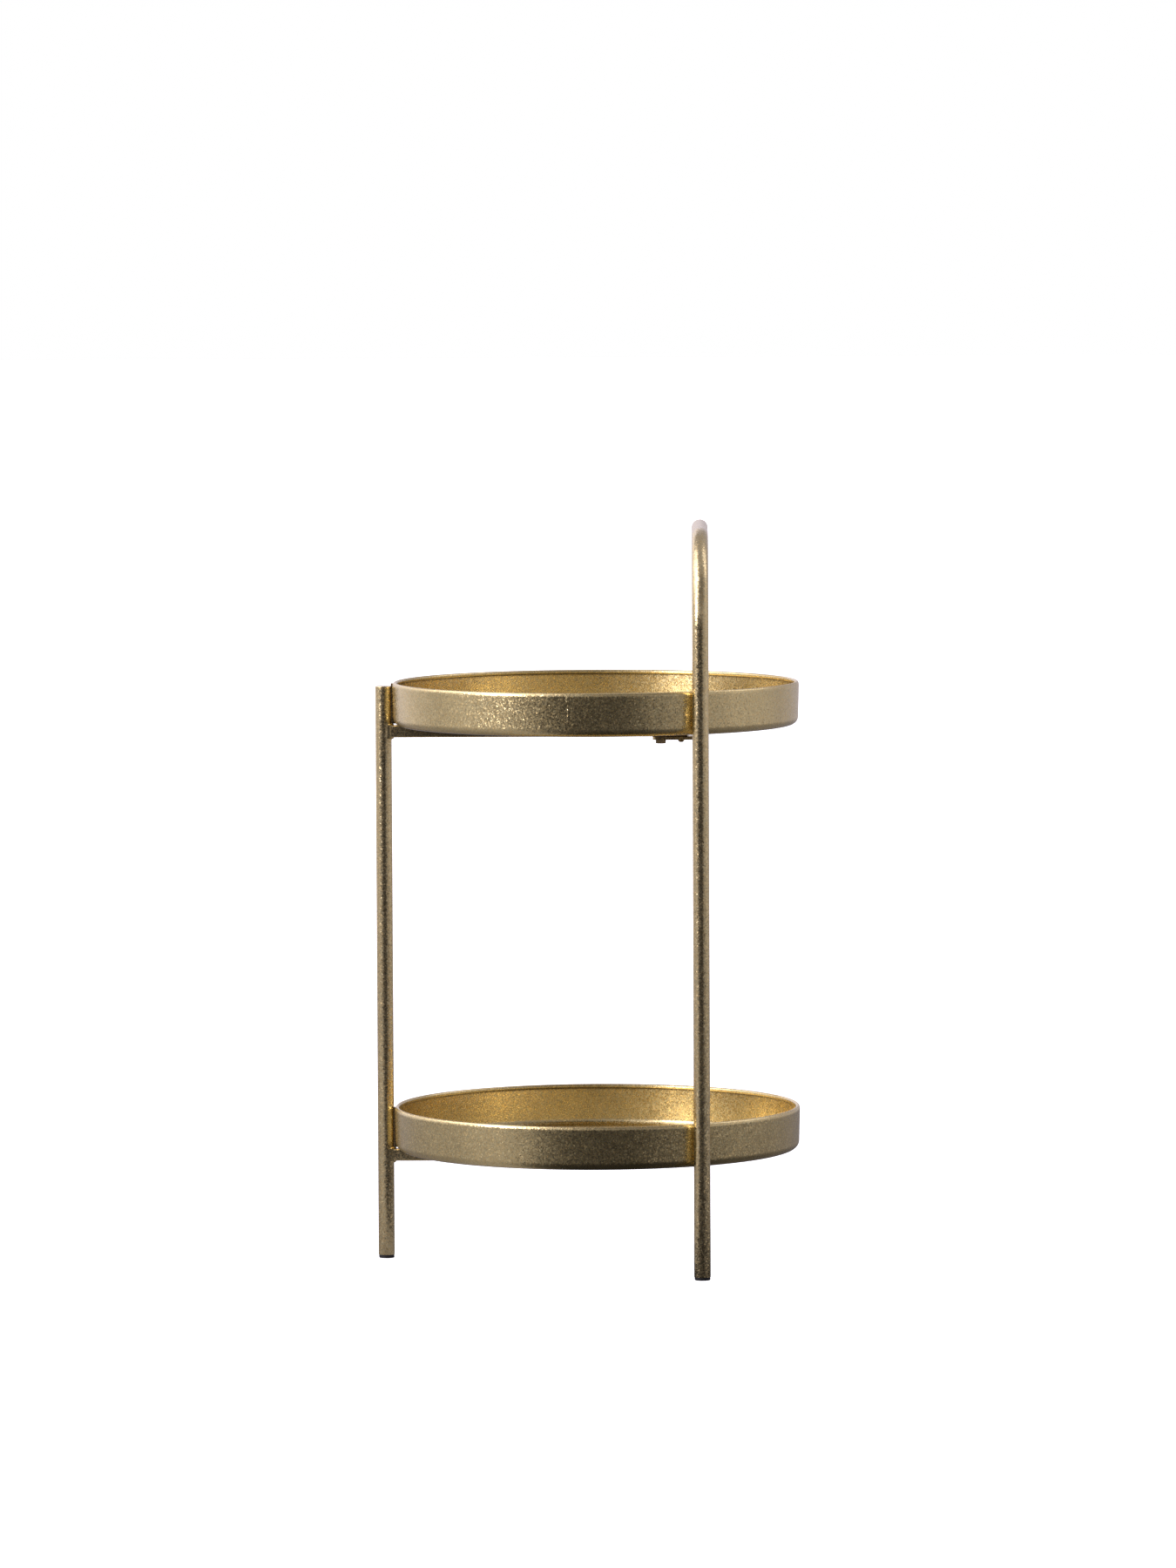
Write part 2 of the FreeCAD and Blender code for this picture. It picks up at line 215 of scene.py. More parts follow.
def gold_leaf(name, colour, roughness, facet_size, facet_tilt, worn):
    """Gold leaf laid on steel and lacquered.

    The surface is broken into small facets, the cells of a Voronoi pattern. Each facet leans
    by a random amount, facet_tilt (2 c)^3 with c even from -0.5 to 0.5, which makes the leaf
    glitter, and has its own shade, warmth and gloss. The lean is halved where a piece's
    burnish attribute is 1. A slow noise varies the tone from place to place. The brown ground
    shows as specks where a sparse noise is above worn. The same brown is laid on as painted
    shade, by as much as a piece's painted_shade attribute says.
    """
    material, tree, shader, place = blank_material(name, 1.0)
    link = tree.links.new
    vectors = "ShaderNodeVectorMath"
    shader.inputs["Coat Weight"].default_value = LACQUER_WEIGHT
    shader.inputs["Coat Roughness"].default_value = LACQUER_ROUGHNESS

    facets = node(tree, "ShaderNodeTexVoronoi", Scale=1 / (facet_size * MM))
    link(place, facets.inputs["Vector"])
    centred = combined(tree, "SUBTRACT", facets.outputs["Color"], (0.5, 0.5, 0.5), vectors)
    size = node(tree, vectors, operation="ABSOLUTE")
    link(centred, size.inputs[0])
    squared = combined(tree, "MULTIPLY", centred, size.outputs[0], vectors)
    cubed = combined(tree, "MULTIPLY", squared, size.outputs[0], vectors)
    burnish = node(tree, "ShaderNodeAttribute", attribute_name="burnish").outputs["Fac"]
    full_lean = facet_tilt * 2 ** 3
    lean = spread(tree, burnish, full_lean, full_lean * BURNISHED_LEAN)
    normal = node(tree, "ShaderNodeNewGeometry").outputs["Normal"]
    leaning = combined(tree, "ADD", scaled(tree, cubed, lean), normal, vectors)
    unit = node(tree, vectors, operation="NORMALIZE")
    link(leaning, unit.inputs[0])
    link(unit.outputs[0], shader.inputs["Normal"])

    chance = node(tree, "ShaderNodeTexWhiteNoise")
    link(facets.outputs["Position"], chance.inputs["Vector"])
    own = node(tree, "ShaderNodeSeparateColor")
    link(chance.outputs["Color"], own.inputs["Color"])
    gloss = spread(tree, own.outputs["Red"], roughness - SMOOTHER_BY, roughness + ROUGHER_BY)
    link(gloss, shader.inputs["Roughness"])

    warm = tuple(part * tint for part, tint in zip(colour, LEAF_WARMTH))
    cool = tuple(part * tint for part, tint in zip(colour, LEAF_COOLNESS))
    hue = blended(tree, own.outputs["Green"], (*warm, 1.0), (*cool, 1.0))
    drift = noise(tree, place, scale=28.0, detail=5.0, roughness=0.6)
    tone = spread(tree, drift, *LEAF_TONES, *TONE_NOISE_RANGE)
    shade = spread(tree, own.outputs["Blue"], *LEAF_SHADES)
    leaf = scaled(tree, hue, combined(tree, "MULTIPLY", tone, shade))

    specks = noise(tree, place, scale=330.0, detail=2.0)
    bare = spread(tree, specks, 0, 1, worn, worn + SPECK_EDGE)
    # Painted shade: the attribute read here darkens the leaf to the brown ground in crevices and
    # along edges where shade falls.
    painted_shade = node(tree, "ShaderNodeAttribute", attribute_name="painted_shade").outputs["Fac"]
    dark = combined(tree, "MAXIMUM", bare, painted_shade)
    link(blended(tree, dark, leaf, BARE_GROUND_AND_SHADE), shader.inputs["Base Color"])
    return material


def settle(piece, material, slot, *nodes):
    """Gives a finished piece its material and its body, and hides what it stands for. The slot is
    not used.
    """
    piece.data.materials.append(material)
    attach(piece, "root")
    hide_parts(*nodes)


frame_gold = gold_leaf(
    "leaf_on_tube", colour=(0.80, 0.65, 0.325), roughness=0.24,
    facet_size=1.2, facet_tilt=0.11, worn=0.80,
)

tube_end = SIDE_LEG_TOP - CAP_THICKNESS
bore = TUBE_RADIUS - TUBE_WALL
side_leg = closed_skin(
    "side_leg",
    turned_rings([
        (bore, FOOT_FLANGE_HEIGHT),
        (TUBE_RADIUS - TUBE_FOOT_EASING, FOOT_FLANGE_HEIGHT),
        (TUBE_RADIUS, FOOT_FLANGE_HEIGHT + TUBE_FOOT_EASING),
        (TUBE_RADIUS, tube_end - TUBE_TOP_EASING),
        (TUBE_RADIUS - TUBE_TOP_EASING, tube_end),
        (bore, tube_end),
    ], SIDE_LEG_X, 0, 0),
    hollow=True,
)
settle(side_leg, frame_gold, "frame_gold", "side_leg_tube")

cap_edge = arc_points(
    (TUBE_RADIUS - CAP_EDGE_RADIUS, CAP_THICKNESS - CAP_EDGE_RADIUS), CAP_EDGE_RADIUS,
    0, 90, count=9,
)
side_leg_cap = closed_skin(
    "side_leg_end_disc",
    turned_rings(np.vstack([
        [
            (CAP_MIDDLE_RADIUS, 0.0),
            (TUBE_RADIUS - TUBE_TOP_EASING, 0.0),
            (TUBE_RADIUS, TUBE_TOP_EASING),
        ],
        cap_edge,
        [
            (2 * CAP_MIDDLE_RADIUS, CAP_THICKNESS - 0.6 * CAP_DIP),
            (CAP_MIDDLE_RADIUS, CAP_THICKNESS - CAP_DIP),
        ],
    ]), SIDE_LEG_X, 0, tube_end),
)
settle(side_leg_cap, frame_gold, "frame_gold", "side_leg_cap")

# ------------------------------------------------------------------ hoop
# The carrying hoop is one length of the same tube, bent to an inverted U. Its two ends are
# the table's other legs, and the straight part at the top is the handle.

HOOP_X = 111.416
HOOP_LEG_Y = 181.904
HOOP_TOP = 725.0
BEND_RADIUS = 88.0
LEG_STATIONS = 39
BEND_STATIONS = 64
HANDLE_STATIONS = 12


def hoop_line():
    """The hoop's centre line and its direction at each station, both as (stations, 3).

    It runs up the front leg, through a quarter circle of radius BEND_RADIUS, along the top,
    through the second quarter circle and down the rear leg. The quarter circle is
    centre + radius (-cos t, sin t), and the rear half is the front half with y reversed.
    """
    turn = np.linspace(0, np.pi / 2, BEND_STATIONS)
    bend_y = -HOOP_LEG_Y + BEND_RADIUS
    bend_z = HOOP_TOP - TUBE_RADIUS - BEND_RADIUS
    leg, handle = np.ones(LEG_STATIONS), np.ones(HANDLE_STATIONS)
    rise = np.linspace(FOOT_FLANGE_HEIGHT, bend_z, LEG_STATIONS + 1)[:-1]
    y = np.concatenate([-HOOP_LEG_Y * leg, bend_y - BEND_RADIUS * np.cos(turn)])
    z = np.concatenate([rise, bend_z + BEND_RADIUS * np.sin(turn)])
    along_y = np.concatenate([0 * leg, np.sin(turn)])
    along_z = np.concatenate([leg, np.cos(turn)])
    top = np.linspace(bend_y, -bend_y, HANDLE_STATIONS + 2)[1:-1]
    y = np.concatenate([y, top, -y[::-1]])
    z = np.concatenate([z, (HOOP_TOP - TUBE_RADIUS) * handle, z[::-1]])
    along_y = np.concatenate([along_y, handle, along_y[::-1]])
    along_z = np.concatenate([along_z, 0 * handle, -along_z[::-1]])
    still = np.zeros(len(y))
    return np.stack([still + HOOP_X, y, z], -1), np.stack([still, along_y, along_z], -1)


def swept_rings(line, along, radius):
    """Circles of the given radius round each station of a line that lies in an upright plane.

    A circle's point is centre + radius (cos a across + sin a over), where across is the X axis
    and over is across turned a quarter turn about the line.
    """
    angle = np.linspace(0, 2 * np.pi, ROUND_COLUMNS, endpoint=False)[None, :, None]
    across = np.array([1.0, 0.0, 0.0])
    over = np.cross(along, across)[:, None, :]
    return line[:, None, :] + radius * (np.cos(angle) * across + np.sin(angle) * over)


line, along = hoop_line()
outer = swept_rings(line, along, TUBE_RADIUS)
inner = swept_rings(line, along, bore)
hoop = closed_skin("hoop", np.concatenate([outer, inner[::-1]]), hollow=True)
settle(hoop, frame_gold, "frame_gold", "hoop_tube")

# ------------------------------------------------------------------ bars and tongues
# Square tube, 12 mm, under both trays: a crossbar between the hoop's legs and a radial bar
# from the side leg. A flat tongue welded under each crossbar reaches below the end of the
# radial bar, and everything is covered with the same leaf.


def give(material, *names):
    """Puts a material in every slot of the named CAD nodes."""
    for name in names:
        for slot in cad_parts[name].material_slots:
            slot.material = material


bar_gold = gold_leaf(
    "leaf_on_bars", colour=(0.72, 0.58, 0.29), roughness=0.28,
    facet_size=1.2, facet_tilt=0.11, worn=0.78,
)
give(
    bar_gold,
    "upper_crossbar", "lower_crossbar",
    "upper_radial_bar", "lower_radial_bar",
    "upper_tongue", "lower_tongue",
)

# ------------------------------------------------------------------ welds
# The steel is joined by small hand-laid beads with a ripple every millimetre or so, painted
# and leafed over with the rest. One runs round each bar where it meets a leg, two hold each
# tongue, and four short tacks hold each tray to its radial bar.

BAR_WIDTH = 12.0
TRAY_LEVELS = (108.5, 527.5)
TIERS = ("lower", "upper")
WELD_CREASE = 50.0
BEAD_COLUMNS = 13
RIPPLE_LAG = 0.45
ROOT_DEPTH = 0.1


def bead_rings(root, first_toe, second_toe, ripples, swell):
    """Cross-sections of a weld bead that fills the corner along a root line.

    root, first_toe and second_toe are (stations, 3). Across the bead, with v from 0 to 1, the
    surface is the straight line between the toes plus an outward parabola 4 v (1 - v). The
    parabola's height is swell times the bead's depth times 0.72 + 0.56 p^0.7 (1 - p^8), where
    p goes from 0 to 1 once per ripple and lags behind in the middle, so the bead rises slowly
    and drops suddenly. The section closes a little behind the root.
    """
    v = np.linspace(0, 1, BEAD_COLUMNS)[None, :, None]
    u = np.linspace(0, ripples, len(root))[:, None, None]
    dome = 4 * v * (1 - v)
    phase = (u - RIPPLE_LAG * dome) % 1.0
    ripple = 0.72 + 0.56 * phase ** 0.7 * (1 - phase ** 8)
    outward = (first_toe + second_toe) / 2 - root
    crown = (1 - v) * first_toe[:, None] + v * second_toe[:, None]
    crown = crown + swell * dome * ripple * outward[:, None]
    return np.concatenate([crown, root[:, None] - ROOT_DEPTH * outward[:, None]], 1)


def rounded_square(half, power, turn):
    """Points (y, z) of the curve |y|^power + |z|^power = half^power at the given angles."""
    reach = half / (np.abs(np.cos(turn)) ** power + np.abs(np.sin(turn)) ** power) ** (1 / power)
    return reach * np.cos(turn), reach * np.sin(turn)


BAR_OUTLINE_POWER = 9.0
TOE_OUTLINE_POWER = 5.0
TOE_ON_TUBE = 1.9
TOE_ON_BAR = 2.2
WIDEST_TOE = 6.95
END_BEAD_STATIONS = 288
END_BEAD_RIPPLES = 36
END_BEAD_SWELL = 0.42


def bar_end_bead(name, leg_x, leg_y, level, heading_degrees):
    """The bead round a square bar where it meets a round leg.

    The root follows the bar's outline on the tube, x = sqrt(R^2 - y^2). One toe is the same
    curve spread out over the tube and the other is the outline moved along the bar.
    """
    turn = np.linspace(0, 2 * np.pi, END_BEAD_STATIONS, endpoint=False)
    y, z = rounded_square(BAR_WIDTH / 2, BAR_OUTLINE_POWER, turn)
    wide_y, wide_z = rounded_square(BAR_WIDTH / 2 + TOE_ON_TUBE, TOE_OUTLINE_POWER, turn)
    wide_y = np.clip(wide_y, -WIDEST_TOE, WIDEST_TOE)
    root = np.stack([np.sqrt(TUBE_RADIUS ** 2 - y ** 2), y, z], -1)
    on_tube = np.stack([np.sqrt(TUBE_RADIUS ** 2 - wide_y ** 2), wide_y, wide_z], -1)
    on_bar = root + [TOE_ON_BAR, 0, 0]
    rings = bead_rings(root, on_tube, on_bar, END_BEAD_RIPPLES, END_BEAD_SWELL)
    c, s = np.cos(np.radians(heading_degrees)), np.sin(np.radians(heading_degrees))
    rings = rings @ np.array([[c, s, 0], [-s, c, 0], [0, 0, 1]])
    rings = rings + [leg_x, leg_y, level - BAR_WIDTH / 2]
    return closed_skin(name, rings, hollow=True, crease_degrees=WELD_CREASE)


STRAIGHT_STATIONS = 90
STRAIGHT_RIPPLE = 1.4
STRAIGHT_SWELL = 0.35
LAST_STATION = 0.498


def straight_bead(name, middle, along, first_side, second_side, leg, length):
    """A short bead in a straight corner, both of whose ends taper off roundly.

    The toes lie leg away from the root along the two sides, times sqrt(1 - (2 s / length)^4),
    where s is the distance from the bead's middle. The stations stop just short of the ends.
    """
    s = np.linspace(-LAST_STATION, LAST_STATION, STRAIGHT_STATIONS) * length
    taper = np.sqrt(1 - (2 * s / length) ** 4)[:, None] * leg
    root = np.array(middle, float) + s[:, None] * np.array(along, float)
    first_toe = root + taper * np.array(first_side, float)
    second_toe = root + taper * np.array(second_side, float)
    rings = bead_rings(root, first_toe, second_toe, length / STRAIGHT_RIPPLE, STRAIGHT_SWELL)
    return closed_skin(name, rings, crease_degrees=WELD_CREASE)


def joined(name, parts):
    """One object that holds the meshes of several."""
    with bpy.context.temp_override(active_object=parts[0], selected_editable_objects=parts):
        bpy.ops.object.join()
    parts[0].name = name
    parts[0].data.name = name
    return parts[0]


weld_gold = gold_leaf(
    "leaf_on_welds", colour=(0.80, 0.65, 0.325), roughness=0.26,
    facet_size=1.3, facet_tilt=0.14, worn=0.78,
)

settle(
    joined("welds_at_side_leg", [
        bar_end_bead("bead", SIDE_LEG_X, 0, level, 0) for level in TRAY_LEVELS
    ]),
    weld_gold, "frame_gold", "side_leg_welds",
)
for tier, level in zip(TIERS, TRAY_LEVELS):
    settle(
        joined(tier + "_welds_at_hoop", [
            bar_end_bead("bead", HOOP_X, -HOOP_LEG_Y, level, 90),
            bar_end_bead("bead", HOOP_X, HOOP_LEG_Y, level, -90),
        ]),
        weld_gold, "frame_gold", tier + "_crossbar_welds",
    )

TONGUE_WIDTH = 22.0
TONGUE_SETBACK = 3.0
TONGUE_WELD_LEG = 2.0
tongue_corners = (
    (HOOP_X - BAR_WIDTH / 2, -1),
    (HOOP_X + BAR_WIDTH / 2 - TONGUE_SETBACK, 1),
)
tongue_beads = [
    straight_bead(
        "bead", (x, 0, level - BAR_WIDTH), (0, 1, 0), (side, 0, 0), (0, 0, -side),
        TONGUE_WELD_LEG, TONGUE_WIDTH,
    )
    for level in TRAY_LEVELS for x, side in tongue_corners
]
settle(joined("welds_at_tongues", tongue_beads), weld_gold, "frame_gold", "tongue_welds")

TACK_LEG = 3.0
TACK_LENGTH = 25.0
TACK_STATIONS = (-122.5, 28.916)
for tier, level in zip(TIERS, TRAY_LEVELS):
    tacks = [
        straight_bead(
            "bead", (x, side * BAR_WIDTH / 2, level), (1, 0, 0), (0, side, 0), (0, 0, -1),
            TACK_LEG, TACK_LENGTH,
        )
        for x in TACK_STATIONS for side in (-1, 1)
    ]
    settle(joined(tier + "_tray_tack_beads", tacks), weld_gold, "tray_gold", tier + "_tray_tacks")

# ------------------------------------------------------------------ trays
# Two round dishes of 1.2 mm sheet, with a wall that leans out a little and a rolled top edge.
# The wall is a strip butt-welded into a ring, whose dressed seam shows as a low ridge. The
# leaf covers both faces, and a slim bead of filler closes the groove at the side leg. Shade is
# painted into the leaf as darkening under the rolled edge, round the bottom corner and on that
# bead.

TRAY_X = 8.5
TRAY_RADIUS = 200.0
TRAY_HEIGHT = 42.5
SHEET = 1.2
LEAN_DEGREES = 1.5
CORNER_RADIUS = 7.5
RIM_BEAD_RADIUS = 2.2
RIM_ROLL_HEIGHT = 3.8
RIM_ROLL_INSET = 0.04
FLOOR_MIDDLE_RADIUS = 6.0
FLOOR_MARGIN = 3.0


def tray_profile():
    """The dish's section as (radius, height), from the floor's underside round to its top.

    Straight runs lie between arcs. One centre serves both faces of the floor corner. The rim
    turns inwards as a quarter of an ellipse, whose middle is straight under the bead's top,
    and goes on as the bead's arc until that meets the wall's inside face, at the angle where
    cos(angle + lean) = cos(lean) - sheet / radius.
    """
    lean = np.radians(LEAN_DEGREES)
    bead_level = TRAY_HEIGHT - RIM_BEAD_RADIUS
    bead_centre = (TRAY_RADIUS - RIM_BEAD_RADIUS, bead_level)
    short_turn = np.degrees(np.arccos(np.cos(lean) - SHEET / RIM_BEAD_RADIUS))
    bead_end = 360 - LEAN_DEGREES - short_turn
    at_corner = TRAY_RADIUS - (bead_level - CORNER_RADIUS) * np.tan(lean)
    corner = (at_corner - CORNER_RADIUS / np.cos(lean), CORNER_RADIUS)
    under_corner = arc_points(corner, CORNER_RADIUS, -90, -LEAN_DEGREES, count=14)
    roll = arc_points((0, 0), 1, 0, 90, count=12)[:-1]
    roll = roll * (RIM_BEAD_RADIUS - RIM_ROLL_INSET, RIM_ROLL_HEIGHT)
    roll = roll + (bead_centre[0], TRAY_HEIGHT - RIM_ROLL_HEIGHT)
    bead = arc_points(bead_centre, RIM_BEAD_RADIUS, 90, bead_end, count=22)
    upper_corner = arc_points(corner, CORNER_RADIUS - SHEET, -LEAN_DEGREES, -90, count=12)
    floor = np.linspace(FLOOR_MIDDLE_RADIUS, corner[0] - FLOOR_MARGIN, 16)
    wall_out = np.linspace(under_corner[-1], roll[0], 50)[1:-1]
    wall_in = np.linspace(bead[-1], upper_corner[0], 26)[1:-1]
    return np.vstack([
        np.stack([floor, 0 * floor], -1),
        under_corner, wall_out, roll, bead, wall_in, upper_corner,
        np.stack([floor, 0 * floor + SHEET], -1)[::-1],
    ])


def wall_radius(height):
    """The radius of the wall's outside face at a height above the tray's underside."""
    return TRAY_RADIUS - (TRAY_HEIGHT - height) * np.tan(np.radians(LEAN_DEGREES))


def way(value, start, end):
    """How far a value has come from start to end, from 0 to 1 and no further either way."""
    return np.clip((value - start) / (end - start), 0, 1)


def wall_mark(height, side, place, half_size, powers):
    """A bell curve up the wall times one along it, exp(-z^p - d^q).

    z and d are the distances from the mark's place, as a share of its half height and half
    width. A power of 2 gives a round mark and a higher one a squarish mark.
    """
    up = (height - place[0]) / half_size[0]
    aside = (side - place[1]) / half_size[1]
    return np.exp(-up ** powers[0] - aside ** powers[1])


SEAM_PATCH_DEGREES = 1.4
SEAM_PATCH_STATIONS = 81
WALL_STATIONS = 482
SEAM_HEIGHT = 0.32
SEAM_FOOT = (4.0, 7.0)
SEAM_HEAD = (TRAY_HEIGHT - 2.5, TRAY_HEIGHT - 4.0)
SEAM_LINE_LEVEL = 23.0
SEAM_LINE_HALF_SIZE = (9.0, 0.45)

# The marks at a seam: level and distance along the wall, half height and half width, powers.
SEAM_KNOB = ((36.0, 0.1), (3.2, 1.7), (4, 4))
KNOB_DIMPLE = ((36.0, 0.1), (1.6, 0.8), (2, 2))
SEAM_PITS = ((22.0, 2.6), (5.0, 0.8), (4, 2))
SEAM_TAIL = ((11.0, -2.8), (3.0, 0.8), (2, 2))
DIMPLE_DEPTH = 0.6
PIT_DEPTH = 0.8
TAIL_HEIGHT = 0.6

FLAT_EDGE = (185.0, 125.0)
LONG_WAVE = 0.16
SHORT_WAVE = 0.08


def tray_rings(level, seam_degrees):
    """The section carried round the tray's axis, with the seam and the sheet's unevenness.

    The angle runs once round, with crowded stations in a patch at the seam. There the wall's
    outside stands proud by a thin line, whose middle sways with height and whose height rises
    and falls along it, and by a squarish knob under the rim with a dimple in it. Beside the
    line lie a few pits and a faint second ridge. All of these are wall marks. The floor rises
    and falls by up to a quarter of a millimetre, as a product of two slow sine waves and a
    third across them, which die out towards the wall.
    """
    patch = np.radians(SEAM_PATCH_DEGREES)
    turn = np.concatenate([
        np.linspace(-patch, patch, SEAM_PATCH_STATIONS),
        np.linspace(patch, 2 * np.pi - patch, WALL_STATIONS)[1:-1],
    ])
    angle = turn + np.radians(seam_degrees)
    profile = tray_profile()
    radius, height = profile[:, :1], profile[:, 1:]
    from_seam = ((turn + np.pi) % (2 * np.pi) - np.pi) * TRAY_RADIUS
    on_wall = way(height, *SEAM_FOOT) * way(height, *SEAM_HEAD)
    outside = radius > wall_radius(height) - SHEET / 2
    sway = 0.2 * np.sin(height * 0.9 + 0.5) + 0.04 * (height - SEAM_LINE_LEVEL)
    broken = 0.6 + 0.4 * np.sin(height * 2.1 + 0.4) * np.sin(height * 0.83 + 1)
    line = broken * wall_mark(
        height, from_seam, (SEAM_LINE_LEVEL, sway), SEAM_LINE_HALF_SIZE, (6, 2)
    )
    dimple = DIMPLE_DEPTH * wall_mark(height, from_seam, *KNOB_DIMPLE)
    knob = wall_mark(height, from_seam, *SEAM_KNOB) * (1 - dimple)
    pits = wall_mark(height, from_seam, *SEAM_PITS) * np.sin(height * 1.25 + 1.0) ** 2
    tail = wall_mark(height, from_seam, *SEAM_TAIL)
    relief = line + knob - PIT_DEPTH * pits + TAIL_HEIGHT * tail
    radius = radius + SEAM_HEIGHT * relief * on_wall * outside
    x, y = radius * np.cos(angle), radius * np.sin(angle)
    wave = LONG_WAVE * np.sin(x / 31 + 0.6) * np.sin(y / 37 - 0.4)
    wave = wave + SHORT_WAVE * np.sin((x - y) / 23)
    return np.stack([TRAY_X + x, y, level + height + way(radius, *FLAT_EDGE) * wave], -1)


def set_mark(piece, name, values):
    """Gives a piece a named value at every point, for its leaf to read."""
    values = np.broadcast_to(values, len(piece.data.vertices))
    mark = piece.data.attributes.new(name, "FLOAT", "POINT")
    mark.data.foreach_set("value", values.astype(np.float32))


# Painted shade, laid into the leaf: a dark band in the crevice under the rim's bead and another
# round the bottom corner.
CREVICE_LEVEL = TRAY_HEIGHT - 2 * RIM_BEAD_RADIUS + 0.1
CREVICE_HALF_HEIGHT = 0.9
EDGE_PAINTED_SHADE = 0.75
EDGE_PAINTED_SHADE_HEIGHT = 1.8
EDGE_PAINTED_SHADE_FADE = (TRAY_RADIUS - 12.0, TRAY_RADIUS - 8.0)


def mark_dish(piece, level):
    """Sets the two attributes of a dish that its leaf reads.

    burnish is 1 at the points above the floor sheet's middle and within the wall's.
    painted_shade is shade painted dark in two places. In the crevice under the rim's bead it is
    a bell curve of the height, exp(-((z - crevice) / half height)^2). Round the bottom corner
    it is EDGE_PAINTED_SHADE exp(-(z / EDGE_PAINTED_SHADE_HEIGHT)^2), fading out over 4 mm of
    the underside.
    """
    points = np.empty(len(piece.data.vertices) * 3)
    piece.data.vertices.foreach_get("co", points)
    x, y, z = points.reshape(-1, 3).T / MM
    height, radius = z - level, np.hypot(x - TRAY_X, y)
    inside = (radius < wall_radius(height) - SHEET / 2) & (height > SHEET / 2)
    # Painted shade for the crevice and the bottom corner.
    painted_crevice_shade = inside * np.exp(-((height - CREVICE_LEVEL) / CREVICE_HALF_HEIGHT) ** 2)
    near_corner = ~inside * way(radius, *EDGE_PAINTED_SHADE_FADE)
    painted_edge_shade = EDGE_PAINTED_SHADE * near_corner * np.exp(-(height / EDGE_PAINTED_SHADE_HEIGHT) ** 2)
    set_mark(piece, "burnish", inside)
    set_mark(piece, "painted_shade", painted_crevice_shade + painted_edge_shade)


SEAM_DEGREES = (68.0, 262.9)
tray_gold = gold_leaf(
    "leaf_on_trays", colour=(0.80, 0.65, 0.303), roughness=0.28,
    facet_size=1.1, facet_tilt=0.13, worn=0.81,
)
for tier, level, seam in zip(TIERS, TRAY_LEVELS, SEAM_DEGREES):
    tray = closed_skin(tier + "_dish", tray_rings(level, seam))
    mark_dish(tray, level)
    settle(tray, tray_gold, "tray_gold", tier + "_tray")

GROOVE_REACH = 2.8
GROOVE_ENDS = (1.5, TRAY_HEIGHT - 1.4)
GROOVE_STATIONS = 120
GROOVE_OVERLAP = 0.1
GROOVE_RIPPLES = 24
GROOVE_SWELL = 0.12
GROOVE_PAINTED_SHADE = 0.85


def groove_bead(name, level, side):
    """A slim bead up the groove between the side leg and a tray's wall, on one side of y = 0.

    At each height the toes lie where y is the reach: on the tube, x = sqrt(R^2 - y^2) from its
    axis, and on the wall, x = -sqrt(r^2 - y^2) from the tray's, where r grows with the lean.
    """
    height = np.linspace(*GROOVE_ENDS, GROOVE_STATIONS)
    below = np.clip(CORNER_RADIUS - height, 0, None)
    shrink = CORNER_RADIUS - np.sqrt(CORNER_RADIUS ** 2 - below ** 2)
    wall = wall_radius(height) - shrink
    reach = GROOVE_REACH * side
    on_tube = SIDE_LEG_X + np.sqrt(TUBE_RADIUS ** 2 - reach ** 2) + 0 * height
    on_wall = TRAY_X - np.sqrt(wall ** 2 - reach ** 2)
    middle = (SIDE_LEG_X + TUBE_RADIUS + TRAY_X - wall) / 2
    y = reach + 0 * height
    rings = bead_rings(
        np.stack([middle, 0 * height, level + height], -1),
        np.stack([on_tube - GROOVE_OVERLAP, y, level + height], -1),
        np.stack([on_wall + GROOVE_OVERLAP, y, level + height], -1),
        GROOVE_RIPPLES, GROOVE_SWELL,
    )
    return closed_skin(name, rings, crease_degrees=WELD_CREASE)


for tier, level in zip(TIERS, TRAY_LEVELS):
    seam_bead = joined(tier + "_bead_at_side_leg", [
        groove_bead("bead", level, side) for side in (-1, 1)
    ])
    # Painted shade: the whole groove bead is darkened to draw the dark gap between the side leg
    # and the wall.
    set_mark(seam_bead, "painted_shade", GROOVE_PAINTED_SHADE)
    seam_bead.data.materials.append(tray_gold)
    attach(seam_bead, "root")

# ------------------------------------------------------------------ bolts, nuts and pins
# At each joint an M6 hexagon bolt goes up through the tongue into a nut held captive in the
# radial bar, and a headed 6 mm pin beside it stops the joint turning. They are steel with a
# dark antique brass finish.

BRASS_BROWN = (0.17, 0.12, 0.06, 1)
BRASS_OLIVE = (0.40, 0.31, 0.16, 1)
BRASS_ROUGHNESS = (0.25, 0.5)


def bumped(tree, shader, height, strength, depth):
    """Bumps a shader's surface by a linked height, with the depth in millimetres."""
    bump = node(tree, "ShaderNodeBump", Strength=strength, Distance=depth * MM)
    tree.links.new(height, bump.inputs["Height"])
    tree.links.new(bump.outputs["Normal"], shader.inputs["Normal"])


def antique_brass(name):
    """Dark brass plating: a noise drifts between brown and olive, and mottles the gloss."""
    material, tree, shader, place = blank_material(name, 1.0)
    drift = noise(tree, place, scale=420.0, detail=4.0, roughness=0.6)
    tree.links.new(blended(tree, drift, BRASS_BROWN, BRASS_OLIVE), shader.inputs["Base Color"])
    tree.links.new(spread(tree, drift, *BRASS_ROUGHNESS), shader.inputs["Roughness"])
    bumped(tree, shader, drift, strength=0.4, depth=0.08)
    return material


